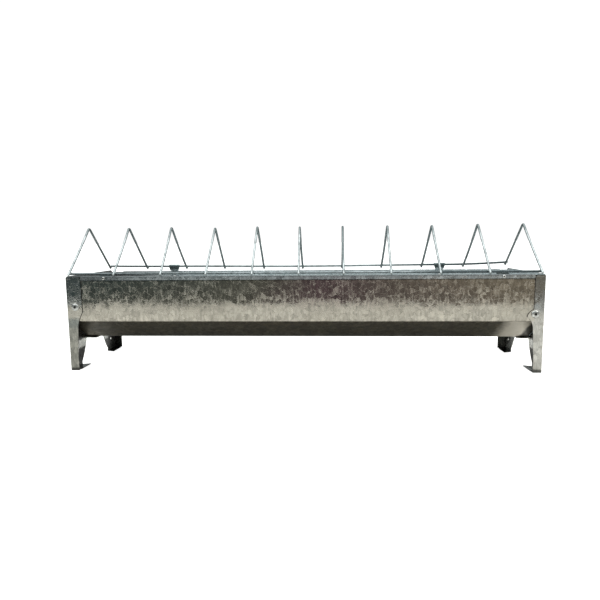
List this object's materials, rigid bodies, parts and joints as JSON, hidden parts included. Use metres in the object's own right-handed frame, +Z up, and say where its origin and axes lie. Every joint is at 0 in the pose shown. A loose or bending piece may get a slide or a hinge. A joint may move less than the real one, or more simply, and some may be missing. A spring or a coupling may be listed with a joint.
{
  "type": "trough feeder",
  "caption": "Galvanised sheet trough feeder on four sheet-metal legs, with a hinged anti-waste grille of inverted-V wire hoops over the feed trough.",
  "frame": {"origin": "on the ground under the middle of the trough, the bottom centre of the whole feeder", "axes": "+X along the trough, -Y to the front (the side the grille opens from), +Y to the hinge side, +Z up"},
  "size_m": [0.5, 0.1232, 0.1542],
  "materials": {
    "trough_sheet": "hot-dip galvanised sheet with spangle, slightly dulled",
    "leg_sheet": "galvanised sheet with fine spangle",
    "clip_sheet": "thin galvanised strip, dulled",
    "rivet": "bright zinc-plated steel",
    "wire": "bright galvanised wire"
  },
  "bodies": {
    "trough": {"trough_body": "trough_sheet", "end_plate_left": "leg_sheet", "end_plate_right": "leg_sheet", "rivet_front_left": "rivet", "rivet_front_right": "rivet", "rivet_rear_left": "rivet", "rivet_rear_right": "rivet", "hinge_clip_left": "clip_sheet", "hinge_clip_right": "clip_sheet", "clip_rivet_left": "rivet", "clip_rivet_right": "rivet", "front_rest_left": "clip_sheet", "front_rest_right": "clip_sheet", "rest_rivet_left": "rivet", "rest_rivet_right": "rivet"},
    "grille": {"rail_front": "wire", "rail_rear": "wire", "hoop_01": "wire", "hoop_02": "wire", "hoop_03": "wire", "hoop_04": "wire", "hoop_05": "wire", "hoop_06": "wire", "hoop_07": "wire", "hoop_08": "wire", "hoop_09": "wire", "hoop_10": "wire", "hoop_11": "wire"}
  },
  "joints": [
    {"name": "grille_hinge", "type": "hinge", "parent": "trough", "child": "grille", "pos_m": [0, 0.05565, 0.1052], "axis": [-1, 0, 0], "range_deg": [0, 180]}
  ]
}
